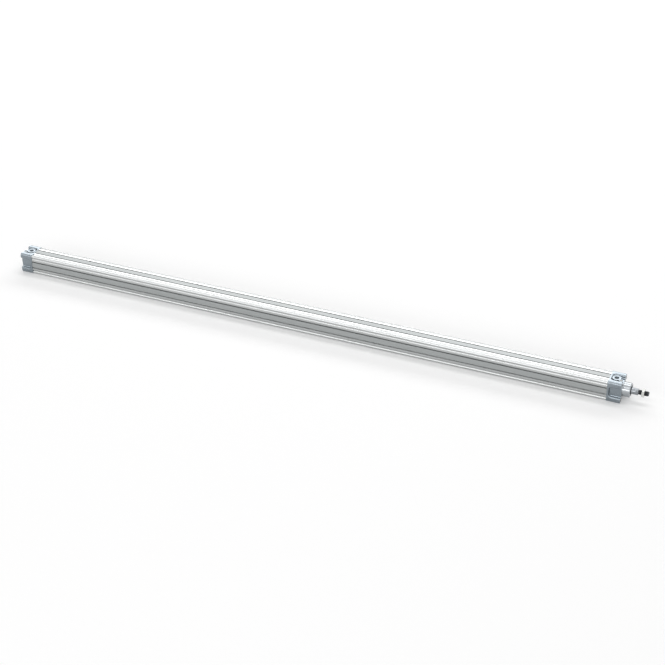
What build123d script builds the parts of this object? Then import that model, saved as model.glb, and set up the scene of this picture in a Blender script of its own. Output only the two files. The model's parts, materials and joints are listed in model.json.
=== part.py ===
"""A pneumatic cylinder with a profile barrel, 40 mm bore and 1500 mm stroke.

X runs along the rod's axis, towards the rod's thread, and Z is up, towards the ports.
The origin is the centre of the front mounting face, where the front boss leaves the cap.
Everything is in millimetres. The rod is drawn a little short of fully drawn in.
"""
import os
from math import sqrt

from build123d import *

# The cylinder as a whole
bore_d = 40.0
stroke = 1500.0
rod_d = 16.0
rod_out = 6.0           # how far the rod stands out of its drawn-in stop, as it lies

# Clearances
end_gap = 0.3           # piston to cap at each end of the stroke
seat_gap = 0.02         # radial, between pieces seated in each other
thread_gap = 0.05       # radial, between a screw and its threaded hole
running_gap = 0.03      # radial, rod in its bush
lip_gap = 0.05          # radial, sealing lip on a surface that slides
piston_gap = 0.5        # radial, bare metal of the piston to the bore

# Cap screws, M6, with an inside M6 thread for mountings
screw_d = 6.0
screw_head_d = 10.0
screw_head_length = 18.0
screw_grip = 18.0       # length of thread in the barrel
screw_sink = 0.2
screw_tap_core_d = 5.0
screw_tap_depth = 16.0
screw_key = 6.0         # hexagon across its flats
screw_key_depth = 3.0
screw_wall = 3.87       # between the bore and the channels of the screws

# End caps, die cast
cap_length = 33.0
cap_corner_r = 5.5
cap_edge = 0.8
ear_rim = 3.0           # outside a screw's head
ear_wall = 1.5          # inside a screw's head
flange_t = 5.0          # full square against the barrel
recess_depth = 7.0      # between the corner ears
recess_r = 6.0
recess_floor_bevel = 1.2
spigot_length = 4.5
boss_d = 35.0
front_boss_length = 18.5
rear_boss_length = 4.0
boss_edge = 1.5

# Barrel, an aluminium extrusion that is the same on all four sides
barrel_step = 0.75      # each side lies this far inside the caps' sides
barrel_corner_r = 5.0
slot_offset = 8.5       # sensor slot from the middle of its side
slot_mouth = 3.0
slot_lip = 1.4
slot_width = 5.4
slot_depth = 3.0        # under the lips
flute_offset = 18.0     # shallow flute from the middle of its side
flute_width = 6.0
flute_depth = 1.7

# Ports, G 1/4, on the top side
port_offset = 18.0      # from the mounting face
port_pad_d = 21.0
port_core_d = 11.445
port_depth = 11.0
port_duct_d = 8.0
port_spot_d = 18.0
port_spot_depth = 0.4
pad_drop = 1.0          # pads stay below the cap's side

# Cushion screws, beside the ports
needle_offset = 5.5     # from the mounting face
needle_side = 8.0       # from the cylinder's middle
needle_pad_d = 9.5
needle_d = 5.8
needle_wall_gap = 0.3   # radial, in its bore
needle_seat_d = 3.0
needle_seat_depth = 12.0
needle_sink = 1.0       # head below its pad
needle_thread_length = 4.2
needle_neck_d = 3.0
needle_neck_length = 2.2
needle_collar_d = 5.0
needle_collar_length = 0.8
needle_end_gap = 0.4    # collar and tip to the metal below them
needle_tip_d = 1.0
needle_slot_width = 1.0
needle_slot_depth = 1.2
needle_ring_section = 1.5

# O-rings on the spigots
barrel_ring_section = 2.0
barrel_ring_groove = 2.5

# Cushion sleeves, either side of the piston, and the seals that they enter
sleeve_d = 22.0
sleeve_length = 17.0
sleeve_bevel = 2.0
chamber_gap = 2.0       # radial, sleeve in its chamber
chamber_end_gap = 2.8   # beyond the rod's tail
cushion_seal_step = 1.0
cushion_seal_length = 5.0
cushion_seal_lip = 1.0  # of the cap, that keeps the seal in
cushion_bevel = 1.2

# Rod bush, rod seal and wiper in the front boss
bush_wall = 2.0
bush_length = 20.0
bush_step = 1.0
bush_step_gap = 0.5     # radial, round the rod
rod_seal_section = 4.0
rod_seal_length = 6.0
wiper_section = 5.0
wiper_length = 5.3
wiper_lip_out = 1.2
wiper_lip_t = 1.0
lip_mouth = 1.6         # of the groove between two sealing lips
lip_depth = 2.8

# Piston
piston_length = 29.4
piston_land = 2.5       # outside each seal groove
piston_seal_length = 5.0
piston_seal_section = 5.0
band_width = 8.0
band_t = 1.4
band_split = 1.2
magnet_width = 5.0
magnet_section = 4.1
magnet_cover = 0.4      # radial, under the guide band
static_ring_section = 1.6

# Piston rod
seat_d = 12.0           # where the piston and the sleeves sit
tail_d = 10.0           # the thread of the piston's nut
tail_free = 1.0
rod_projection = 30.0   # mounting face to thread, rod drawn in
rod_thread_d = 12.0
rod_thread_length = 24.0
rod_thread_pitch = 1.25
rod_thread_bevel = 1.2
rod_relief_depth = 0.8
rod_relief_length = 1.5
rod_flat_depth = 1.5
rod_flats_length = 6.5
rod_bevel = 0.6

# Nuts
piston_nut_flats = 17.0
piston_nut_length = 6.0
rod_nut_flats = 19.0
rod_nut_length = 6.0
rod_nut_place = 8.0     # thread's start to nut
rod_nut_turn = 14.0     # degrees, how its flats happen to lie
nut_bevel = 1.0

# Sizes across, that follow from the others
screw_pitch = sqrt(2) * (bore_d / 2 + screw_wall + screw_d / 2)
cap_side = screw_pitch + screw_head_d + 2 * ear_rim
barrel_side = cap_side - 2 * barrel_step
rod_thread_pitch_d = rod_thread_d - 3 * sqrt(3) / 8 * rod_thread_pitch
recess_width = screw_pitch - screw_head_d - 2 * ear_wall
flute_r = (flute_width ** 2 / 4 + flute_depth ** 2) / (2 * flute_depth)
spigot_d = bore_d - 2 * seat_gap
barrel_groove_d = bore_d - 2 * barrel_ring_section
chamber_d = sleeve_d + 2 * chamber_gap
cushion_seal_d = chamber_d + 2 * cushion_seal_step
bush_d = rod_d + 2 * bush_wall
rod_seal_d = rod_d + 2 * rod_seal_section
wiper_d = rod_d + 2 * wiper_section
piston_d = bore_d - 2 * piston_gap
piston_seal_core_d = bore_d - 2 * piston_seal_section
band_d = bore_d - 2 * lip_gap
band_groove_d = band_d - 2 * band_t - 2 * lip_gap
magnet_d = band_groove_d - 2 * magnet_cover
magnet_core_d = magnet_d - 2 * magnet_section
pad_top = cap_side / 2 - pad_drop
needle_bore_d = needle_d + 2 * needle_wall_gap
needle_length = needle_thread_length + needle_neck_length + needle_collar_length
needle_bore_depth = needle_sink + needle_length + needle_end_gap

# Stations along X
barrel_length = stroke + piston_length + 2 * end_gap + 2 * spigot_length
front_face = 0.0
barrel_front = front_face - cap_length
barrel_rear = barrel_front - barrel_length
rear_face = barrel_rear - cap_length
rear_stop = barrel_rear + spigot_length
boss_end = front_face + front_boss_length
wiper_start = boss_end - wiper_length
rod_seal_start = wiper_start - rod_seal_length
bush_end = rod_seal_start - bush_step
bush_start = bush_end - bush_length
piston_rear = rear_stop + end_gap + rod_out
piston_middle = piston_rear + piston_length / 2
piston_front = piston_rear + piston_length
rod_shoulder = piston_front + sleeve_length
tail_start = piston_rear - sleeve_length
tail_end = tail_start - piston_nut_length - tail_free
rear_chamber_end = tail_end - rod_out - chamber_end_gap
rod_thread_start = front_face + rod_projection + rod_out
rod_tip = rod_thread_start + rod_thread_length
rod_nut_start = rod_thread_start + rod_nut_place

os.makedirs("parts", exist_ok=True)


def save(piece, name):
    """Label a finished piece and write its STEP file."""
    piece.part.label = name
    export_step(piece.part, f"parts/{name}.step")


def round_length(start, end, diameter, mode=Mode.ADD):
    """Add or cut a cylinder on the rod's axis, between two stations."""
    with BuildSketch(Plane.YZ.offset(start)) as disc:
        Circle(diameter / 2)
    extrude(disc.sketch, amount=end - start, mode=mode)


def corner_lengths(start, end, diameter, mode=Mode.ADD):
    """Add or cut four cylinders on the cap screws' axes."""
    with BuildSketch(Plane.YZ.offset(start)) as discs:
        with GridLocations(screw_pitch, screw_pitch, 2, 2):
            Circle(diameter / 2)
    extrude(discs.sketch, amount=end - start, mode=mode)


def upright_length(x, y, low, high, diameter, mode=Mode.ADD):
    """Add or cut an upright cylinder between two heights."""
    with BuildSketch(Plane.XY.offset(low)) as disc:
        with Locations((x, y)):
            Circle(diameter / 2)
    extrude(disc.sketch, amount=high - low, mode=mode)


def o_ring(station, inner_d, section):
    """An O-ring round the rod's axis, lying on a groove of a given diameter. Its section has eight sides."""
    with BuildPart() as ring:
        with BuildSketch(Plane.XZ):
            with Locations((station, inner_d / 2 + section / 2)):
                RegularPolygon(section / 2 - seat_gap, 8)
        revolve(axis=Axis.X)
    return ring


def lip_seal(start, end, inner_d, outer_d):
    """A ring with two lips, their open side at the start."""
    depth = lip_depth if end > start else -lip_depth
    middle = (inner_d + outer_d) / 4
    with BuildPart() as seal:
        with BuildSketch(Plane.XZ):
            with BuildLine():
                Polyline(
                    (start, inner_d / 2),
                    (end, inner_d / 2),
                    (end, outer_d / 2),
                    (start, outer_d / 2),
                    (start, middle + lip_mouth / 2),
                    (start + depth, middle),
                    (start, middle - lip_mouth / 2),
                    close=True,
                )
            make_face()
        revolve(axis=Axis.X)
    return seal


def hex_nut(start, length, flats, thread_d, turn):
    """A hexagon nut on the rod's axis, its corners bevelled on both sides."""
    with BuildPart() as blank:
        round_length(start, start + length, flats * 2 / sqrt(3))
        chamfer(blank.edges(), nut_bevel)
    with BuildPart() as nut:
        with BuildSketch(Plane.YZ.offset(start)):
            RegularPolygon(flats / 2, 6, major_radius=False, rotation=turn)
        extrude(amount=length)
        add(blank.part, mode=Mode.INTERSECT)
        round_length(start, start + length, thread_d + 2 * thread_gap, Mode.SUBTRACT)
    return nut


def cap_recess(face, inward):
    """The pocket between two ears on the cap's top side, open at the mounting face."""
    near = face - inward * recess_r
    far = face + inward * (cap_length - flange_t)
    floor = cap_side / 2 - recess_depth
    with BuildPart() as recess:
        with BuildSketch(Plane.XY.offset(floor)):
            with Locations(((near + far) / 2, 0)):
                RectangleRounded(abs(far - near), recess_width, recess_r)
        extrude(amount=2 * recess_depth)
        chamfer(recess.edges().group_by(Axis.Z)[0], recess_floor_bevel)
    return recess


def cap_casting(face, inward, boss_length, chamber_end):
    """An end cap as cast and drilled, before the rod's bores.

    face is the mounting face's station, and inward is the sign of X towards the barrel.
    """
    joint = face + inward * cap_length
    stop = joint + inward * spigot_length
    groove = joint + inward * (spigot_length - barrel_ring_groove) / 2
    seal = stop - inward * cushion_seal_lip
    port_x = face + inward * port_offset
    needle_x = face + inward * needle_offset
    recess = cap_recess(face, inward)
    mounting_side = -1 if inward < 0 else 0
    with BuildPart() as casting:
        with BuildSketch(Plane.YZ.offset(face)):
            RectangleRounded(cap_side, cap_side, cap_corner_r)
        extrude(amount=inward * cap_length)
        chamfer(casting.faces().sort_by(Axis.X)[mounting_side].edges(), cap_edge)
        for quarter in range(4):
            add(recess.part.rotate(Axis.X, 90 * quarter), mode=Mode.SUBTRACT)
        # The boss on the outside and the spigot that centres the barrel
        round_length(face, face - inward * boss_length, boss_d)
        chamfer(casting.faces().sort_by(Axis.X)[mounting_side].edges(), boss_edge)
        round_length(joint, stop, spigot_d)
        # Pads of the port and the cushion screw, standing in the top recess
        upright_length(port_x, 0, chamber_d / 2, pad_top, port_pad_d)
        upright_length(needle_x, -needle_side, chamber_d / 2, pad_top, needle_pad_d)
        # Groove of the barrel's O-ring
        with BuildSketch(Plane.YZ.offset(groove)) as ring:
            Circle(bore_d / 2)
            Circle(barrel_groove_d / 2, mode=Mode.SUBTRACT)
        extrude(ring.sketch, amount=inward * barrel_ring_groove, mode=Mode.SUBTRACT)
        # Cushion chamber and the seat of its seal
        round_length(stop, chamber_end, chamber_d, Mode.SUBTRACT)
        round_length(seal, seal - inward * cushion_seal_length, cushion_seal_d, Mode.SUBTRACT)
        # Port, and its duct into the chamber
        upright_length(port_x, 0, pad_top - port_spot_depth, pad_top, port_spot_d, Mode.SUBTRACT)
        upright_length(port_x, 0, pad_top - port_depth, pad_top, port_core_d, Mode.SUBTRACT)
        upright_length(port_x, 0, 0, pad_top, port_duct_d, Mode.SUBTRACT)
        # Stepped bore of the cushion screw
        upright_length(
            needle_x, -needle_side, pad_top - needle_bore_depth, pad_top, needle_bore_d, Mode.SUBTRACT
        )
        upright_length(
            needle_x, -needle_side, pad_top - needle_seat_depth, pad_top, needle_seat_d, Mode.SUBTRACT
        )
        # Holes of the cap screws
        head_end = face + inward * (screw_head_length + screw_sink)
        corner_lengths(face, head_end, screw_head_d + 2 * seat_gap, Mode.SUBTRACT)
        corner_lengths(face, joint, screw_d + 2 * thread_gap, Mode.SUBTRACT)
    return casting


def cap_screws(face, inward):
    """The four screws that hold a cap to the barrel, as separate solids."""
    outer = face + inward * screw_sink
    neck = outer + inward * screw_head_length
    end = face + inward * (cap_length + screw_grip)
    with BuildPart() as screws:
        corner_lengths(outer, neck, screw_head_d)
        corner_lengths(neck, end, screw_d)
        corner_lengths(outer, outer + inward * screw_tap_depth, screw_tap_core_d, Mode.SUBTRACT)
        with BuildSketch(Plane.YZ.offset(outer)) as keys:
            with GridLocations(screw_pitch, screw_pitch, 2, 2):
                RegularPolygon(screw_key / 2, 6, major_radius=False)
        extrude(keys.sketch, amount=inward * screw_key_depth, mode=Mode.SUBTRACT)
    return screws


def cushion_seal(face, inward):
    """The ring that closes on the cushion sleeve, bevelled where the sleeve enters."""
    outer = face + inward * (cap_length + spigot_length - cushion_seal_lip)
    inner = outer - inward * cushion_seal_length
    with BuildPart() as seal:
        round_length(outer, inner, cushion_seal_d - 2 * seat_gap)
        round_length(outer, inner, sleeve_d + 2 * lip_gap, Mode.SUBTRACT)
        mouth = seal.faces().sort_by(Axis.X)[0 if inward < 0 else -1]
        chamfer(mouth.edges().sort_by(SortBy.RADIUS)[0], cushion_bevel)
    return seal


def cushion_screw(face, inward):
    """The needle screw that sets the cushion, with a slot for a screwdriver."""
    x = face + inward * needle_offset
    top = pad_top - needle_sink
    neck = top - needle_thread_length
    collar = neck - needle_neck_length
    needle = collar - needle_collar_length
    tip = pad_top - needle_seat_depth + needle_end_gap
    with BuildPart() as screw:
        upright_length(x, -needle_side, neck, top, needle_d)
        upright_length(x, -needle_side, collar, neck, needle_neck_d)
        upright_length(x, -needle_side, needle, collar, needle_collar_d)
        with BuildSketch(Plane.XY.offset(needle)):
            with Locations((x, -needle_side)):
                Circle(needle_seat_d / 2 - seat_gap)
        with BuildSketch(Plane.XY.offset(tip)):
            with Locations((x, -needle_side)):
                Circle(needle_tip_d / 2)
        loft()
        with BuildSketch(Plane.XY.offset(top - needle_slot_depth)):
            with Locations((x, -needle_side)):
                Rectangle(needle_slot_width, 2 * needle_d)
        extrude(amount=2 * needle_slot_depth, mode=Mode.SUBTRACT)
    return screw


def cushion_ring(face, inward):
    """The O-ring in the neck of a cushion screw. Its section has eight sides."""
    x = face + inward * needle_offset
    z = pad_top - needle_sink - needle_thread_length - needle_neck_length / 2
    section = needle_ring_section / 2
    with BuildPart() as ring:
        with BuildSketch(Plane.XZ.offset(needle_side)):
            with Locations((x + needle_neck_d / 2 + section + seat_gap, z)):
                RegularPolygon(section, 8)
        revolve(axis=Axis((x, -needle_side, 0), (0, 0, 1)))
    return ring


def piston_half(face, outward):
    """Half of the piston, from its end face to the middle plane.

    face is the end face's station, and outward is the sign of X away from the middle.
    """
    seal = face - outward * piston_land
    with BuildPart() as half:
        round_length(face, piston_middle, piston_d)
        with BuildSketch(Plane.YZ.offset(seal)) as groove:
            Circle(bore_d / 2)
            Circle(piston_seal_core_d / 2, mode=Mode.SUBTRACT)
        extrude(groove.sketch, amount=-outward * piston_seal_length, mode=Mode.SUBTRACT)
        with BuildSketch(Plane.YZ.offset(piston_middle)) as band_seat:
            Circle(bore_d / 2)
            Circle(band_groove_d / 2, mode=Mode.SUBTRACT)
        extrude(band_seat.sketch, amount=outward * (band_width / 2 + seat_gap), mode=Mode.SUBTRACT)
        with BuildSketch(Plane.YZ.offset(piston_middle)) as magnet_seat:
            Circle(bore_d / 2)
            Circle(magnet_core_d / 2, mode=Mode.SUBTRACT)
        extrude(magnet_seat.sketch, amount=outward * (magnet_width / 2 + seat_gap), mode=Mode.SUBTRACT)
        round_length(face, piston_middle, seat_d + 2 * seat_gap, Mode.SUBTRACT)
    return half


def cushion_sleeve(start, end):
    """A sleeve beside the piston, bevelled at its far end."""
    with BuildPart() as sleeve:
        round_length(start, end, sleeve_d)
        chamfer(sleeve.edges().group_by(Axis.X)[-1 if end > start else 0], sleeve_bevel)
        round_length(start, end, seat_d + 2 * seat_gap, Mode.SUBTRACT)
    return sleeve


# Barrel
with BuildPart() as barrel:
    with BuildSketch(Plane.YZ.offset(barrel_rear)):
        RectangleRounded(barrel_side, barrel_side, barrel_corner_r)
        with PolarLocations(barrel_side / 2, 4):
            with Locations((flute_r - flute_depth, flute_offset), (flute_r - flute_depth, -flute_offset)):
                Circle(flute_r, mode=Mode.SUBTRACT)
        with PolarLocations(barrel_side / 2, 4):
            with Locations((0, slot_offset), (0, -slot_offset)):
                Rectangle(2 * slot_lip + slot_depth, slot_mouth, mode=Mode.SUBTRACT)
            with Locations(
                (-slot_lip - slot_depth / 2, slot_offset), (-slot_lip - slot_depth / 2, -slot_offset)
            ):
                Rectangle(slot_depth, slot_width, mode=Mode.SUBTRACT)
        with GridLocations(screw_pitch, screw_pitch, 2, 2):
            Circle(screw_d / 2 + thread_gap, mode=Mode.SUBTRACT)
        Circle(bore_d / 2, mode=Mode.SUBTRACT)
    extrude(amount=barrel_length)
save(barrel, "barrel")

# Front cap, with the rod's bearing and seals in its boss
front_casting = cap_casting(front_face, -1, front_boss_length, bush_start)
with BuildPart() as front_cap:
    add(front_casting.part)
    round_length(bush_start, bush_end, bush_d + 2 * seat_gap, Mode.SUBTRACT)
    round_length(bush_end, rod_seal_start, rod_d + 2 * bush_step_gap, Mode.SUBTRACT)
    round_length(rod_seal_start, boss_end, rod_seal_d + 2 * seat_gap, Mode.SUBTRACT)
    round_length(wiper_start, boss_end, wiper_d + 2 * seat_gap, Mode.SUBTRACT)
save(front_cap, "front_cap")

rear_cap = cap_casting(rear_face, 1, rear_boss_length, rear_chamber_end)
save(rear_cap, "rear_cap")

save(cap_screws(front_face, -1), "front_cap_screws")
save(cap_screws(rear_face, 1), "rear_cap_screws")

# Seals between caps and barrel
save(o_ring(barrel_front - spigot_length / 2, barrel_groove_d, barrel_ring_section), "front_barrel_seal")
save(o_ring(barrel_rear + spigot_length / 2, barrel_groove_d, barrel_ring_section), "rear_barrel_seal")

save(cushion_seal(front_face, -1), "front_cushion_seal")
save(cushion_seal(rear_face, 1), "rear_cushion_seal")

# Bearing and seals of the rod
with BuildPart() as rod_bush:
    round_length(bush_start, bush_end, bush_d)
    round_length(bush_start, bush_end, rod_d + 2 * running_gap, Mode.SUBTRACT)
save(rod_bush, "rod_bush")

rod_seal = lip_seal(rod_seal_start, wiper_start, rod_d + 2 * lip_gap, rod_seal_d)
save(rod_seal, "rod_seal")

with BuildPart() as rod_wiper:
    round_length(wiper_start, boss_end, wiper_d)
    with BuildSketch(Plane.YZ.offset(boss_end)):
        Circle(rod_d / 2 + 2 * wiper_lip_t)
    extrude(amount=wiper_lip_out, taper=30)
    round_length(wiper_start, boss_end + wiper_lip_out, rod_d + 2 * lip_gap, Mode.SUBTRACT)
save(rod_wiper, "rod_wiper")

# Cushion adjustment
save(cushion_screw(front_face, -1), "front_cushion_screw")
save(cushion_screw(rear_face, 1), "rear_cushion_screw")
save(cushion_ring(front_face, -1), "front_cushion_ring")
save(cushion_ring(rear_face, 1), "rear_cushion_ring")

# Piston rod
with BuildPart() as piston_rod:
    round_length(rod_shoulder, rod_thread_start, rod_d)
    chamfer(piston_rod.edges().group_by(Axis.X)[-1], rod_bevel)
    flats_start = rod_thread_start - rod_flats_length
    with BuildSketch(Plane.YZ.offset(flats_start)):
        Rectangle(rod_d, rod_d)
        Rectangle(rod_d - 2 * rod_flat_depth, rod_d, mode=Mode.SUBTRACT)
    extrude(amount=rod_flats_length, mode=Mode.SUBTRACT)
    round_length(rod_thread_start, rod_tip, rod_thread_d)
    chamfer(piston_rod.edges().group_by(Axis.X)[-1], rod_thread_bevel)
    with BuildSketch(Plane.YZ.offset(rod_thread_start)):
        Circle(rod_d / 2)
        Circle(rod_thread_d / 2 - rod_relief_depth, mode=Mode.SUBTRACT)
    extrude(amount=rod_relief_length, mode=Mode.SUBTRACT)
    # Inside the lock nut, rod and nut meet at the thread's pitch diameter
    with BuildSketch(Plane.YZ.offset(rod_nut_start)):
        Circle(rod_d / 2)
        Circle(rod_thread_pitch_d / 2, mode=Mode.SUBTRACT)
    extrude(amount=rod_nut_length, mode=Mode.SUBTRACT)
    round_length(tail_start, rod_shoulder, seat_d)
    round_length(tail_end, tail_start, tail_d)
save(piston_rod, "piston_rod")

# Piston, in two halves that hold the magnet and the guide band between them
with BuildPart() as piston_front_half:
    add(piston_half(piston_front, 1).part)
    with BuildSketch(Plane.YZ.offset(piston_middle)):
        Circle(seat_d / 2 + static_ring_section + seat_gap)
    extrude(amount=static_ring_section + 2 * seat_gap, mode=Mode.SUBTRACT)
save(piston_front_half, "piston_front_half")
save(piston_half(piston_rear, -1), "piston_rear_half")

static_station = piston_middle + static_ring_section / 2 + seat_gap
save(o_ring(static_station, seat_d, static_ring_section), "piston_rod_ring")

with BuildPart() as piston_magnet:
    round_length(piston_middle - magnet_width / 2, piston_middle + magnet_width / 2, magnet_d)
    round_length(
        piston_middle - magnet_width / 2,
        piston_middle + magnet_width / 2,
        magnet_core_d + 2 * seat_gap,
        Mode.SUBTRACT,
    )
save(piston_magnet, "piston_magnet")

with BuildPart() as guide_band:
    band_start = piston_middle - band_width / 2 + seat_gap
    band_end = piston_middle + band_width / 2 - seat_gap
    round_length(band_start, band_end, band_d)
    round_length(band_start, band_end, band_d - 2 * band_t, Mode.SUBTRACT)
    with BuildSketch(Plane.XY) as split:
        with Locations((piston_middle, 0)):
            Rectangle(2 * band_width, band_split)
    extrude(split.sketch, amount=bore_d, mode=Mode.SUBTRACT)
save(guide_band, "guide_band")

piston_seal_d = bore_d - 2 * lip_gap
piston_seal_inner_d = piston_seal_core_d + 2 * seat_gap
front_seal_outer = piston_front - piston_land - seat_gap
rear_seal_outer = piston_rear + piston_land + seat_gap
seal_run = piston_seal_length - 2 * seat_gap
save(
    lip_seal(front_seal_outer, front_seal_outer - seal_run, piston_seal_inner_d, piston_seal_d),
    "front_piston_seal",
)
save(
    lip_seal(rear_seal_outer, rear_seal_outer + seal_run, piston_seal_inner_d, piston_seal_d),
    "rear_piston_seal",
)

save(cushion_sleeve(piston_front, rod_shoulder), "front_cushion_sleeve")
save(cushion_sleeve(piston_rear, tail_start), "rear_cushion_sleeve")

# Nuts
save(hex_nut(tail_start - piston_nut_length, piston_nut_length, piston_nut_flats, tail_d, 0), "piston_nut")
save(
    hex_nut(rod_nut_start, rod_nut_length, rod_nut_flats, rod_thread_pitch_d, rod_nut_turn), "rod_lock_nut"
)
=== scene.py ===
"""Looks of a long pneumatic cylinder: anodised profile barrel, cast caps, polished rod, lock nut."""
import json
import math

import bpy
from mathutils import Matrix, Vector


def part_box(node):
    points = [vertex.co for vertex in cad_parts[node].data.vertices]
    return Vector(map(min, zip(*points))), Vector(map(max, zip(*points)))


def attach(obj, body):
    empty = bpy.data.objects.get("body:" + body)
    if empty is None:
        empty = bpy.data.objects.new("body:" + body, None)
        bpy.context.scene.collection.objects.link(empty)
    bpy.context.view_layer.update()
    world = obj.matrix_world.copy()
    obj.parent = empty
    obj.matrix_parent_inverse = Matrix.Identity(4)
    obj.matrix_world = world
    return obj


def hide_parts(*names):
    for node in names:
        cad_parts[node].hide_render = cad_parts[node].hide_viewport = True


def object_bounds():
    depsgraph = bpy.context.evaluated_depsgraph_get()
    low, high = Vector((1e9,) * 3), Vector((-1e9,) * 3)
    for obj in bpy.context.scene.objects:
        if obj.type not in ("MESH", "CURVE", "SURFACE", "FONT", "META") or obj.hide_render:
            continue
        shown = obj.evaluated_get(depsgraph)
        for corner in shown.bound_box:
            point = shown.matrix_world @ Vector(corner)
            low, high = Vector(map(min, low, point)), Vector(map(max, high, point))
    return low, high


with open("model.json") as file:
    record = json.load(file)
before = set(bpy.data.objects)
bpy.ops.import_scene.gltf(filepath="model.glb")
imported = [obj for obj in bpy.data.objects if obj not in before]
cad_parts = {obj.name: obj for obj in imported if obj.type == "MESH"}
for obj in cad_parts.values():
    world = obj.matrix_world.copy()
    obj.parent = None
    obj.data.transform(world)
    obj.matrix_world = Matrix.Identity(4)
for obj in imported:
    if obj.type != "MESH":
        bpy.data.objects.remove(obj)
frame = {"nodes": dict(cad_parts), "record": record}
cad_low, cad_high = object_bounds()

# Sizes of the real object, in metres. X runs along the rod, Z is up.
BARREL_CORNER_R = 0.005
SLOT_OFFSET = 0.0085
SLOT_MOUTH = 0.003
SLOT_LIP = 0.0014
SLOT_WIDTH = 0.0054
SLOT_DEPTH = 0.003
FLUTE_OFFSET = 0.018
FLUTE_WIDTH = 0.006
FLUTE_DEPTH = 0.0017
BORE_R = 0.020
SCREW_OFFSET = 0.019
CHANNEL_R = 0.00305
EDGE_R = 0.0004             # an extrusion's edges are never sharp

ROD_R = 0.008
ROD_FLATS = 0.013
ROD_FLATS_LENGTH = 0.0065
ROD_EDGE = 0.0006
SEAT_R = 0.006
TAIL_R = 0.005
TAIL_LENGTH = 0.007
THREAD_R = 0.006
THREAD_LENGTH = 0.024
THREAD_PITCH = 0.00125
THREAD_DEPTH = 0.00077
THREAD_BEVEL = 0.0012
RELIEF_LENGTH = 0.0015
RELIEF_R = 0.0052

CAP_LENGTH = 0.033
CAP_SIDE = 0.027            # from the rod's axis to a cap's side
CAP_EDGE_R = 0.0003         # left by the casting die
FLANGE = 0.005
RECESS_HALF_WIDTH = 0.0125
RECESS_R = 0.006
EAR_R = 0.0035              # rounding of the ears along the recesses
PORT_OFFSET = 0.018
PORT_CORE_R = 0.0057225
PORT_MAJOR_R = 0.0065785
PORT_PITCH = 0.001337
PORT_TOP = 0.0256
PORT_THREAD_LENGTH = 0.009

# How many flat faces a round one is drawn with.
BORE_SIDES = 96
ROD_SIDES = 64
FLUTE_SIDES = 48
CHANNEL_SIDES = 24
THREAD_STEPS = 40           # in one turn of a thread

SAME_PLACE = 0.000001       # points nearer than this are one
THREAD_SEAM = 0.0000001     # the same within a thread's ridge
MACHINED_DEPTH = 0.00001    # a cap is machined in front of its mounting face and this far behind it

NOISE_LOW, NOISE_HIGH = 0.3, 0.7    # nearly all of a noise's values lie between these

FLOOR_SIZE = 60
FLOOR_GAP = 0.00002         # the floor lies just under the caps, to keep the two from flickering
FLOOR_GLOW = 0.185          # what brings the paper up to white where the lamps light it
FAR_GLOW = 0.75             # what brings it up to white beyond them
LIT_REACH, FAR_REACH = 3.0, 7.0     # from the front cap, the glow rises between these distances
ROOM_LIGHT = 0.32           # how bright the room is beside white, for what it lights
SOFTBOX_LIGHT = 3.0         # how bright a softbox is beside white
SOFTBOX_LENGTH = 9.0        # along the cylinder


def linear(hex_colour):
    """An sRGB hex colour as the linear colour that a shader takes."""
    channels = [int(hex_colour[i:i + 2], 16) / 255 for i in (0, 2, 4)]
    lin = [c / 12.92 if c <= 0.04045 else ((c + 0.055) / 1.055) ** 2.4 for c in channels]
    return (*lin, 1.0)


def add_node(tree, kind, inputs=None, **settings):
    """Adds a node, sets its properties, and fills inputs with values or with other nodes' outputs."""
    node = tree.nodes.new(kind)
    for key, value in settings.items():
        setattr(node, key, value)
    for key, value in (inputs or {}).items():
        if isinstance(value, bpy.types.NodeSocket):
            tree.links.new(value, node.inputs[key])
        else:
            node.inputs[key].default_value = value
    return node


def new_material(name):
    """An empty material: its tree, its shader and its output are ready."""
    material = bpy.data.materials.new(name)
    material.use_nodes = True
    tree = material.node_tree
    tree.nodes.clear()
    shader = add_node(tree, "ShaderNodeBsdfPrincipled")
    add_node(tree, "ShaderNodeOutputMaterial", {"Surface": shader.outputs["BSDF"]})
    return material, tree, shader


def pattern(tree, sizes, detail):
    """Noise on the object's own coordinates, with features of these sizes in millimetres along X, Y and Z."""
    place = add_node(tree, "ShaderNodeTexCoord")
    scaled = add_node(
        tree,
        "ShaderNodeMapping",
        {"Vector": place.outputs["Object"], "Scale": [1000 / size for size in sizes]},
    )
    noise = add_node(
        tree,
        "ShaderNodeTexNoise",
        {"Vector": scaled.outputs["Vector"], "Scale": 1.0, "Detail": detail, "Roughness": 0.55},
    )
    return noise.outputs["Fac"]


def follow(tree, shader, value, colours=(), gloss=(), relief=0.0):
    """Lets a pattern drive a shader.

    colours are two hex colours, gloss is two roughnesses, and relief is a depth in metres.
    """
    if colours:
        dark, light = colours
        tone = add_node(
            tree, "ShaderNodeMix", {"Factor": value, "A": linear(dark), "B": linear(light)}, data_type="RGBA"
        )
        tree.links.new(tone.outputs["Result"], shader.inputs["Base Color"])
    if gloss:
        low, high = gloss
        spread = add_node(
            tree,
            "ShaderNodeMapRange",
            {"Value": value, "From Min": NOISE_LOW, "From Max": NOISE_HIGH, "To Min": low, "To Max": high},
        )
        tree.links.new(spread.outputs["Result"], shader.inputs["Roughness"])
    if relief:
        bump = add_node(tree, "ShaderNodeBump", {"Height": value, "Distance": relief, "Strength": 1.0})
        tree.links.new(bump.outputs["Normal"], shader.inputs["Normal"])


def patterned(name, sizes, detail, colours, gloss, metallic=1.0, relief=0.0):
    """A material whose colour, roughness and relief all follow one pattern."""
    material, tree, shader = new_material(name)
    shader.inputs["Metallic"].default_value = metallic
    follow(tree, shader, pattern(tree, sizes, detail), colours, gloss, relief)
    return material


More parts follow.
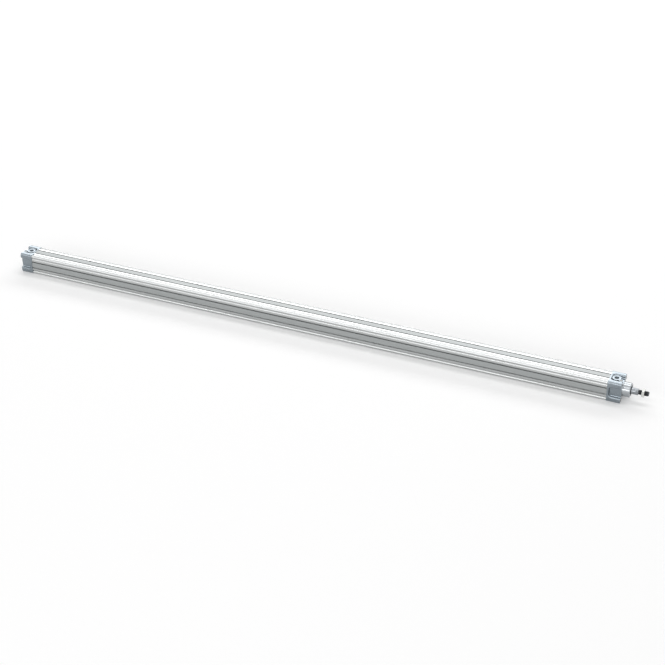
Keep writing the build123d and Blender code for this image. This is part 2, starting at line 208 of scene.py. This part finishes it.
def between_the_slots(tree):
    """1 on the strip between the two sensor slots of any side, else 0."""
    place = add_node(tree, "ShaderNodeTexCoord")
    parts = add_node(tree, "ShaderNodeSeparateXYZ", {"Vector": place.outputs["Object"]})
    across = [
        add_node(tree, "ShaderNodeMath", {0: parts.outputs[axis]}, operation="ABSOLUTE").outputs["Value"]
        for axis in ("Y", "Z")
    ]
    nearest = add_node(tree, "ShaderNodeMath", {0: across[0], 1: across[1]}, operation="MINIMUM")
    return add_node(
        tree,
        "ShaderNodeMath",
        {0: nearest.outputs["Value"], 1: SLOT_OFFSET - SLOT_MOUTH / 2},
        operation="LESS_THAN",
    ).outputs["Value"]


def anodised_aluminium():
    """Clear-anodised aluminium extrusion: satin, with faint die lines that run its whole length.

    Between the slots, its colour is a little darker and its roughness a little higher.
    """
    material, tree, shader = new_material("anodised_aluminium_extrusion")
    shader.inputs["Metallic"].default_value = 1.0
    # Real die lines are about 0.1 mm wide. These are coarser, so that they show.
    lines = pattern(tree, (1667, 1.11, 1.11), 3.0)
    clouds = pattern(tree, (250, 33.3, 33.3), 2.0)
    strip = between_the_slots(tree)
    outside, between = (
        add_node(
            tree, "ShaderNodeMix", {"Factor": lines, "A": linear(dark), "B": linear(light)}, data_type="RGBA"
        ).outputs["Result"]
        for dark, light in (("b3b5b5", "c2c4c4"), ("9fa2a2", "aeb1b1"))
    )
    colour = add_node(tree, "ShaderNodeMix", {"Factor": strip, "A": outside, "B": between}, data_type="RGBA")
    tree.links.new(colour.outputs["Result"], shader.inputs["Base Color"])
    satin = add_node(
        tree,
        "ShaderNodeMapRange",
        {"Value": clouds, "From Min": NOISE_LOW, "From Max": NOISE_HIGH, "To Min": 0.25, "To Max": 0.31},
    )
    added_roughness = 0.32
    dull = add_node(
        tree,
        "ShaderNodeMath",
        {0: strip, 1: added_roughness, 2: satin.outputs["Result"]},
        operation="MULTIPLY_ADD",
    )
    tree.links.new(dull.outputs["Value"], shader.inputs["Roughness"])
    follow(tree, shader, lines, relief=0.000012)
    return material


def cast_aluminium():
    """Die-cast aluminium, shot-blasted and clear coated: cooler, darker and duller than the barrel."""
    material, tree, shader = new_material("blasted_die_cast_aluminium")
    shader.inputs["Metallic"].default_value = 1.0
    # The shot leaves dents of about 0.2 mm. These are coarser, so that they show close up.
    grain = pattern(tree, (0.714, 0.714, 0.714), 2.0)
    clouds = pattern(tree, (16.7, 16.7, 16.7), 3.0)
    follow(tree, shader, clouds, ("838b91", "8f979d"), (0.22, 0.30))
    follow(tree, shader, grain, relief=0.000022)
    return material


def hard_chrome():
    """Ground and polished hard chrome: a mirror with fine rings from the grinding, coloured darker than
    chrome as painted shade.
    """
    material, tree, shader = new_material("polished_hard_chrome")
    shader.inputs["Metallic"].default_value = 1.0
    # This colour is darker than hard chrome's own: painted shade that stands in for the dark surroundings a
    # chrome rod mirrors.
    shader.inputs["Base Color"].default_value = linear("8f9397")
    # Grinding marks are hair-fine. These are 0.4 mm wide, so that they show close up.
    follow(tree, shader, pattern(tree, (0.4, 83.3, 83.3), 2.0), gloss=(0.10, 0.16))
    return material


def cut_steel():
    """Thread cut in bare steel: darker than the chrome, oiled, with the tool's traces."""
    # One trace is about as wide as a pitch of the thread, or it wouldn't show.
    return patterned("oiled_cut_steel", (1.11, 8.33, 8.33), 3.0, ("3a3c3e", "505254"), (0.26, 0.40))


def zinc_steel():
    """Clear-passivated zinc plate on steel: bright, slightly cloudy."""
    # The clouds are a few millimetres across, as barrel plating leaves them.
    return patterned("zinc_plated_steel", (3.85, 3.85, 3.85), 3.0, ("bebfbc", "cdcecb"), (0.20, 0.30))


def turned_metal(name, colours, gloss):
    """A turned metal: fine rings about its axis, between two colours and two roughnesses."""
    # A finishing cut leaves a ring every 0.1 mm or so. These are coarser, so that they show close up.
    return patterned(name, (0.556, 16.7, 16.7), 2.0, colours, gloss)


def soft_plastic(name, colours, gloss):
    """A moulded rubber or plastic: not metallic, with a faint mottle in colour and gloss."""
    # The skin of a moulding is finer than this mottle, which is as coarse as it needs to show.
    return patterned(name, (1.43, 1.43, 1.43), 3.0, colours, gloss, metallic=0.0, relief=0.00002)


def deselect():
    """Leaves edit mode and deselects everything."""
    if bpy.context.mode != "OBJECT":
        bpy.ops.object.mode_set(mode="OBJECT")
    bpy.ops.object.select_all(action="DESELECT")


def pick(piece):
    """Makes a piece the only selected and active one."""
    deselect()
    piece.select_set(True)
    bpy.context.view_layer.objects.active = piece


def settle(piece):
    """Puts a piece's place into its mesh."""
    pick(piece)
    bpy.ops.object.transform_apply(location=True, rotation=True, scale=True)
    return piece


def bar(low, high):
    """A square bar between two corners."""
    deselect()
    low, high = Vector(low), Vector(high)
    bpy.ops.mesh.primitive_cube_add(size=1, location=(low + high) / 2, scale=high - low)
    return settle(bpy.context.object)


def round_bar(x0, x1, radius, sides, y=0.0, z=0.0):
    """A cylinder along X."""
    deselect()
    bpy.ops.mesh.primitive_cylinder_add(
        vertices=sides,
        radius=radius,
        depth=x1 - x0,
        location=((x0 + x1) / 2, y, z),
        rotation=(0, math.pi / 2, 0),
    )
    return settle(bpy.context.object)


def joined(pieces):
    """Several pieces as one object."""
    deselect()
    for piece in pieces:
        piece.select_set(True)
    bpy.context.view_layer.objects.active = pieces[0]
    if len(pieces) > 1:
        bpy.ops.object.join()
    return pieces[0]


def turned_about_x(piece, degrees):
    """Turns a piece's mesh about the rod's axis."""
    piece.data.transform(Matrix.Rotation(math.radians(degrees), 4, "X"))
    return piece


def apply_modifier(piece, kind, **settings):
    """Adds a modifier and applies it."""
    pick(piece)
    modifier = piece.modifiers.new(kind.lower(), kind)
    for key, value in settings.items():
        setattr(modifier, key, value)
    bpy.ops.object.modifier_apply(modifier=modifier.name)


def combine(piece, other, operation):
    """Puts another shape on a piece (UNION) or takes it out (DIFFERENCE), and deletes the other."""
    apply_modifier(piece, "BOOLEAN", operation=operation, object=other, solver="EXACT")
    bpy.data.objects.remove(other)


def carve(piece, cutter):
    """Cuts a cutter's shape out of a piece."""
    combine(piece, cutter, "DIFFERENCE")


def ease_edges(piece, radius, angle):
    """Rounds all edges that are sharper than an angle in degrees."""
    apply_modifier(
        piece, "BEVEL", width=radius, segments=2, limit_method="ANGLE", angle_limit=math.radians(angle)
    )


def edit_all(piece):
    """Opens a piece for editing, with everything selected."""
    pick(piece)
    bpy.ops.object.mode_set(mode="EDIT")
    bpy.ops.mesh.select_all(action="SELECT")


def bevel_where(piece, chosen, width, segments):
    """Rounds the edges whose two ends both pass a test."""
    edit_all(piece)
    bpy.ops.mesh.select_mode(type="EDGE")
    bpy.ops.mesh.select_all(action="DESELECT")
    bpy.ops.object.mode_set(mode="OBJECT")
    for edge in piece.data.edges:
        a, b = (piece.data.vertices[i].co for i in edge.vertices)
        edge.select = chosen(a, b)
    bpy.ops.object.mode_set(mode="EDIT")
    bpy.ops.mesh.bevel(offset=width, segments=segments, affect="EDGES")
    bpy.ops.object.mode_set(mode="OBJECT")


def smooth(piece, angle):
    """Shades round faces round and keeps flat faces flat."""
    pick(piece)
    bpy.ops.object.shade_smooth_by_angle(angle=math.radians(angle))
    apply_modifier(piece, "WEIGHTED_NORMAL", keep_sharp=True, weight=50)


def mark(piece, chosen):
    """Puts a piece's second material on the faces whose centres pass a test."""
    while len(piece.data.materials) < 2:
        piece.data.materials.append(None)
    for polygon in piece.data.polygons:
        polygon.material_index = 1 if chosen(polygon.center) else 0


def hand_over(piece, name, body, slot, materials, *nodes):
    """Names a finished piece, gives it its material, and puts it on its body in place of CAD nodes."""
    piece.name = name
    piece.data.name = name
    slots = piece.data.materials
    for index, material in enumerate(materials):
        if index < len(slots):
            slots[index] = material
        else:
            slots.append(material)
    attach(piece, body)
    if nodes:
        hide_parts(*nodes)


def barrel_extrusion():
    """The barrel: a square bar with round corners, cut by slots, flutes, channels and the bore."""
    low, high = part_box("barrel")
    side = high.z
    beyond = 0.01
    x0, x1 = low.x - beyond, high.x + beyond
    barrel = bar(low, high)
    bevel_where(barrel, lambda a, b: abs(a.x - b.x) > side, BARREL_CORNER_R, segments=10)
    mouths, pockets, flutes = [], [], []
    flute_r = (FLUTE_WIDTH ** 2 / 4 + FLUTE_DEPTH ** 2) / (2 * FLUTE_DEPTH)
    flute_z = side + flute_r - FLUTE_DEPTH
    floor_z = side - SLOT_LIP - SLOT_DEPTH
    half_way = floor_z + SLOT_DEPTH / 2
    for quarter in range(4):
        for hand in (-1, 1):
            y = hand * SLOT_OFFSET
            mouth = bar((x0, y - SLOT_MOUTH / 2, half_way), (x1, y + SLOT_MOUTH / 2, side + beyond))
            pocket = bar((x0, y - SLOT_WIDTH / 2, floor_z), (x1, y + SLOT_WIDTH / 2, side - SLOT_LIP))
            flute = round_bar(x0, x1, flute_r, FLUTE_SIDES, hand * FLUTE_OFFSET, flute_z)
            for piece, group in ((mouth, mouths), (pocket, pockets), (flute, flutes)):
                group.append(turned_about_x(piece, 90 * quarter))
    channels = [
        round_bar(x0, x1, CHANNEL_R, CHANNEL_SIDES, y * SCREW_OFFSET, z * SCREW_OFFSET)
        for y in (-1, 1)
        for z in (-1, 1)
    ]
    for group in (mouths, pockets, flutes, channels):
        carve(barrel, joined(group))
    carve(barrel, round_bar(x0, x1, BORE_R, BORE_SIDES))
    ease_edges(barrel, EDGE_R, angle=30)
    smooth(barrel, angle=32)
    return barrel


def turned_solid(stations, sides):
    """A solid turned about X, from its stations, each an x and a radius."""
    (x, radius), *rest = stations
    deselect()
    bpy.ops.mesh.primitive_circle_add(
        vertices=sides, radius=radius, fill_type="NGON", location=(x, 0, 0), rotation=(0, math.pi / 2, 0)
    )
    solid = settle(bpy.context.object)
    edit_all(solid)
    for next_x, next_radius in rest:
        bpy.ops.mesh.extrude_region_move(TRANSFORM_OT_translate={"value": (next_x - x, 0, 0)})
        grow = next_radius / radius
        bpy.ops.transform.resize(value=(1, grow, grow), center_override=(next_x, 0, 0))
        x, radius = next_x, next_radius
    bpy.ops.mesh.select_all(action="SELECT")
    bpy.ops.mesh.fill_holes(sides=sides)
    bpy.ops.mesh.normals_make_consistent(inside=False)
    bpy.ops.object.mode_set(mode="OBJECT")
    return solid


def thread_ridge(x0, x1, pitch, root_r, crest_r):
    """The ridge of a thread along X: a tooth's section carried round and along by the screw modifier."""
    half_foot = 0.48 * pitch
    half_crest = 0.09 * pitch
    foot_r = root_r + 0.12 * (root_r - crest_r)     # past the root, so that the ridge and the wall overlap
    turns = int((x1 - x0 - pitch) / pitch)
    deselect()
    bpy.ops.mesh.primitive_circle_add(vertices=4, radius=pitch)
    ridge = settle(bpy.context.object)
    middle = x0 + pitch / 2
    section = (
        (middle - half_foot, foot_r),
        (middle - half_crest, crest_r),
        (middle + half_crest, crest_r),
        (middle + half_foot, foot_r),
    )
    for vertex, (x, radius) in zip(ridge.data.vertices, section):
        vertex.co = (x, 0, radius)
    apply_modifier(
        ridge,
        "SCREW",
        axis="X",
        screw_offset=pitch,
        iterations=turns,
        steps=THREAD_STEPS,
        render_steps=THREAD_STEPS,
        use_merge_vertices=False,
    )
    edit_all(ridge)
    bpy.ops.mesh.remove_doubles(threshold=THREAD_SEAM)
    bpy.ops.mesh.fill_holes(sides=len(section))
    bpy.ops.mesh.normals_make_consistent(inside=False)
    bpy.ops.object.mode_set(mode="OBJECT")
    return ridge


def rod_with_thread():
    """The piston rod, with its wrench flats and a real thread. Its second material is on the thread."""
    low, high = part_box("piston_rod")
    tip = high.x
    thread_start = tip - THREAD_LENGTH
    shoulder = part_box("front_cushion_sleeve")[1].x
    tail_start = low.x + TAIL_LENGTH
    root_r = THREAD_R - THREAD_DEPTH
    rod = turned_solid(
        (
            (low.x, TAIL_R - ROD_EDGE),
            (low.x + ROD_EDGE, TAIL_R),
            (tail_start, TAIL_R),
            (tail_start, SEAT_R),
            (shoulder, SEAT_R),
            (shoulder, ROD_R),
            (thread_start - ROD_EDGE, ROD_R),
            (thread_start, ROD_R - ROD_EDGE),
            (thread_start, RELIEF_R),
            (thread_start + RELIEF_LENGTH, RELIEF_R),
            (thread_start + RELIEF_LENGTH, root_r),
            (tip - THREAD_BEVEL, root_r),
            (tip, THREAD_R - THREAD_BEVEL),
        ),
        ROD_SIDES,
    )
    flats_start = thread_start - ROD_FLATS_LENGTH
    clear = ROD_R * 2
    for hand in (-1, 1):
        near, far = sorted((hand * ROD_FLATS / 2, hand * clear))
        carve(rod, bar((flats_start, near, -clear), (thread_start + ROD_EDGE, far, clear)))
    ridge = thread_ridge(thread_start + RELIEF_LENGTH, tip, THREAD_PITCH, root_r, THREAD_R)
    rod = joined([rod, ridge])
    smooth(rod, angle=30)
    mark(rod, lambda centre: centre.x > thread_start + RELIEF_LENGTH / 2)
    return rod


def cut_port_thread(cap, x):
    """Cuts the port's thread into the wall of its hole, which stands upright at an x."""
    cutter = thread_ridge(PORT_TOP - PORT_THREAD_LENGTH, PORT_TOP, PORT_PITCH, PORT_CORE_R, PORT_MAJOR_R)
    cutter.data.transform(Matrix.Rotation(-math.pi / 2, 4, "Y"))
    cutter.data.transform(Matrix.Translation((x, 0, 0)))
    carve(cap, cutter)


def recess_block(face, inward, half_width, low, high):
    """The space between two ears on a cap's top side, between two heights."""
    far = face + inward * (CAP_LENGTH - FLANGE)
    out = face - inward * FLANGE
    block = bar((min(far, out), -half_width, low), (max(far, out), half_width, high))

    def upright_at_the_end(a, b):
        return abs(a.x - far) < SAME_PLACE and (a - b).xy.length < SAME_PLACE

    bevel_where(block, upright_at_the_end, RECESS_R, segments=8)
    return block


def ear_rounder(face, inward):
    """What rounds the edge of a cap's top recess: a rim with the section of a spandrel."""
    lift, play = 0.00002, 0.00005       # keep its faces clear of the cap's, or the cut could fail
    top = CAP_SIDE + lift
    far = face + inward * (CAP_LENGTH - FLANGE + EAR_R + play)
    out = face - inward * FLANGE
    half = RECESS_HALF_WIDTH + EAR_R + play
    rim = bar((min(far, out), -half, top), (max(far, out), half, top + FLANGE))
    block = recess_block(face, inward, RECESS_HALF_WIDTH, top - EAR_R - play, top + FLANGE / 2)
    combine(rim, block, "UNION")
    inside = RECESS_HALF_WIDTH + play

    def on_rim(point):
        return abs(point.z - top) < SAME_PLACE and abs(point.y) < inside and inward * (far - point.x) > EAR_R

    bevel_where(rim, lambda a, b: on_rim(a) and on_rim(b), EAR_R, segments=6)
    core = recess_block(face, inward, RECESS_HALF_WIDTH - play, CAP_SIDE - 2 * EAR_R, CAP_SIDE + 2 * FLANGE)
    carve(rim, core)
    return rim


def cap_casting(node, face, inward):
    """A cap with rounded ears, die-cast edges and a threaded port, its second material on machined faces."""
    cap = welded_copy(node, angle=40)
    rounders = [turned_about_x(ear_rounder(face, inward), 90 * quarter) for quarter in range(4)]
    carve(cap, joined(rounders))
    ease_edges(cap, CAP_EDGE_R, angle=40)
    cut_port_thread(cap, face + inward * PORT_OFFSET)
    smooth(cap, angle=40)
    mark(cap, lambda centre: inward * (centre.x - face) < MACHINED_DEPTH)
    return cap


def welded_copy(node, angle):
    """A copy of a CAD node with its triangles joined, so that its round faces shade round."""
    flat_within = math.radians(0.5)
    piece = frame["nodes"][node].copy()
    piece.data = frame["nodes"][node].data.copy()
    for key in list(piece.keys()):
        del piece[key]
    piece.parent = None
    bpy.context.scene.collection.objects.link(piece)
    edit_all(piece)
    bpy.ops.mesh.remove_doubles(threshold=SAME_PLACE)
    bpy.ops.mesh.dissolve_limited(angle_limit=flat_within)
    bpy.ops.object.mode_set(mode="OBJECT")
    smooth(piece, angle)
    return piece


def seen_directly(tree):
    """1 for rays from the camera, and for those that metal or glass sends on, else 0."""
    path = add_node(tree, "ShaderNodeLightPath")
    seen = path.outputs["Is Camera Ray"]
    for other in ("Is Glossy Ray", "Is Transmission Ray"):
        seen = add_node(
            tree, "ShaderNodeMath", {0: seen, 1: path.outputs[other]}, operation="MAXIMUM"
        ).outputs["Value"]
    return seen


def floor():
    """A plain white sheet that runs past everything the camera sees, and keeps the object's shadow."""
    deselect()
    bpy.ops.mesh.primitive_plane_add(size=FLOOR_SIZE, location=(0, 0, cad_low.z - FLOOR_GAP))
    sheet = settle(bpy.context.object)
    sheet.name = "floor"
    material, tree, shader = new_material("matt_white_paper")
    shader.inputs["Base Color"].default_value = linear("f1f1f1")
    shader.inputs["Roughness"].default_value = 0.9
    shader.inputs["Specular IOR Level"].default_value = 0.0
    shader.inputs["Emission Color"].default_value = linear("ffffff")
    place = add_node(tree, "ShaderNodeTexCoord")
    away = add_node(tree, "ShaderNodeVectorMath", {0: place.outputs["Object"]}, operation="LENGTH")
    glow = add_node(
        tree,
        "ShaderNodeMapRange",
        {
            "Value": away.outputs["Value"],
            "From Min": LIT_REACH,
            "From Max": FAR_REACH,
            "To Min": FLOOR_GLOW,
            "To Max": FAR_GLOW,
        },
    )
    lift = add_node(
        tree, "ShaderNodeMath", {0: seen_directly(tree), 1: glow.outputs["Result"]}, operation="MULTIPLY"
    )
    tree.links.new(lift.outputs["Value"], shader.inputs["Emission Strength"])
    sheet.data.materials.append(material)


def softbox(name, place, target, height):
    """A long rectangular lamp that looks at a point."""
    lamp = bpy.data.lights.new(name, "AREA")
    lamp.shape = "RECTANGLE"
    lamp.size = SOFTBOX_LENGTH
    lamp.size_y = height
    lamp.energy = SOFTBOX_LIGHT * math.pi * SOFTBOX_LENGTH * height
    holder = bpy.data.objects.new(name, lamp)
    bpy.context.scene.collection.objects.link(holder)
    holder.location = place
    holder.rotation_mode = "QUATERNION"
    holder.rotation_quaternion = (Vector(target) - Vector(place)).to_track_quat("-Z", "Y")


def studio():
    """A pale room and four softboxes. The low one lights the near side, and the others mostly the top."""
    scene = bpy.context.scene
    world = bpy.data.worlds.new("pale_room")
    world.use_nodes = True
    scene.world = world
    tree = world.node_tree
    background = tree.nodes["Background"]
    background.inputs["Color"].default_value = linear("ffffff")
    strength = add_node(
        tree, "ShaderNodeMapRange", {"Value": seen_directly(tree), "To Min": ROOM_LIGHT, "To Max": 1.0}
    )
    tree.links.new(strength.outputs["Result"], background.inputs["Strength"])
    middle = (cad_low.x + cad_high.x) / 2
    for name, x, y, z, height in (
        ("back_softbox", middle - 0.8, 5.2, 3.5, 1.8),
        ("top_softbox", middle, 1.8, 5.6, 1.4),
        ("front_softbox", middle, -3.2, 5.1, 0.8),
        ("low_softbox", middle, -5.6, 2.0, 1.4),
    ):
        softbox(name, (x, y, z), (middle, 0, 0), height)
    scene.view_settings.view_transform = "Standard"


def camera():
    """The photograph's view, from a fit to the corners of the caps."""
    place = (0.600, -3.156, 2.085)
    yaw, pitch = math.radians(22.85), math.radians(31.6)
    focal_pixels, picture_pixels, sensor = 1630.0, 665.0, 36.0
    data = bpy.data.cameras.new("camera")
    data.sensor_width = sensor
    data.lens = focal_pixels / picture_pixels * sensor
    data.clip_start, data.clip_end = 0.05, 100
    holder = bpy.data.objects.new("camera", data)
    bpy.context.scene.collection.objects.link(holder)
    holder.location = place
    holder.rotation_euler = (math.pi / 2 - pitch, 0, yaw)
    bpy.context.scene.camera = holder


camera()

anodised = anodised_aluminium()
cast = cast_aluminium()
machined = turned_metal("machined_aluminium_casting", ("a2a6a9", "b0b4b7"), (0.20, 0.28))
chrome = hard_chrome()
thread_steel = cut_steel()
zinc = zinc_steel()
finishes = {
    "anodised_profile": anodised,
    "cast_cap": cast,
    "chromed_rod": chrome,
    "zinc_steel": zinc,
    "nitrile": soft_plastic("black_nitrile_rubber", ("0d0d0d", "171717"), (0.45, 0.6)),
    "polyurethane": soft_plastic("dark_polyurethane", ("151a20", "222931"), (0.35, 0.5)),
    "bearing_bronze": turned_metal("sintered_bronze", ("8a6a3c", "a5834e"), (0.4, 0.55)),
    "needle_steel": turned_metal("nickel_plated_steel", ("9c9c98", "b2b2ae"), (0.25, 0.4)),
    "piston_alloy": turned_metal("turned_aluminium", ("b4b7b9", "c8cacc"), (0.28, 0.4)),
    "acetal": soft_plastic("filled_acetal", ("141416", "202022"), (0.4, 0.55)),
    "bonded_magnet": soft_plastic("plastic_bonded_magnet", ("18181a", "26262a"), (0.5, 0.65)),
}
for row in frame["record"]["subparts"]:
    node_object = frame["nodes"][row["node"]]
    node_object.data.materials.clear()
    node_object.data.materials.append(finishes[row["material_slot"]])

hand_over(barrel_extrusion(), "barrel_extrusion", "barrel", "anodised_profile", [anodised], "barrel")
hand_over(rod_with_thread(), "threaded_rod", "rod", "chromed_rod", [chrome, thread_steel], "piston_rod")
rear_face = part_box("barrel")[0].x - CAP_LENGTH
for node, face, inward in (("front_cap", 0.0, -1), ("rear_cap", rear_face, 1)):
    casting = cap_casting(node, face, inward)
    hand_over(casting, node + "_casting", "barrel", "cast_cap", [cast, machined], node)
for node in ("front_cap_screws", "rear_cap_screws"):
    hand_over(welded_copy(node, angle=30), node + "_set", "barrel", "zinc_steel", [zinc], node)
nut = welded_copy("rod_lock_nut", angle=25)
hand_over(nut, "thin_lock_nut", "rod", "zinc_steel", [zinc], "rod_lock_nut")

floor()
studio()
